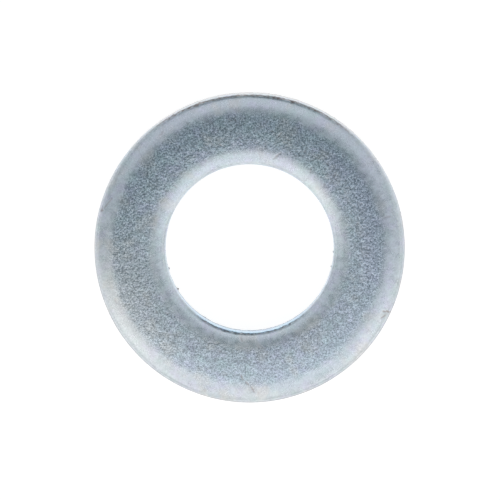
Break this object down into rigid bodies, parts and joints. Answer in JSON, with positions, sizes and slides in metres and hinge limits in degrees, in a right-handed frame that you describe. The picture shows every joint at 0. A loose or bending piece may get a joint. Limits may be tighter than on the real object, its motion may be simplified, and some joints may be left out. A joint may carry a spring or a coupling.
{
  "type": "flat washer",
  "caption": "Plain round flat washer of zinc-plated pressed steel, with a central clearance hole and rolled shoulders on its upper face.",
  "frame": {"origin": "centre of the bolt hole on the lower, sheared face, which is the plane that the washer rests on", "axes": "+Z along the hole's axis, from the sheared face towards the rolled face; the ring is round, so X and Y are free"},
  "size_m": [0.024, 0.024, 0.0025],
  "materials": {
    "zinc_plate": "matt grained zinc plate with a blue passivate, smoother on the rolled shoulders"
  },
  "bodies": {
    "root": {"washer": "zinc_plate"}
  },
  "joints": []
}
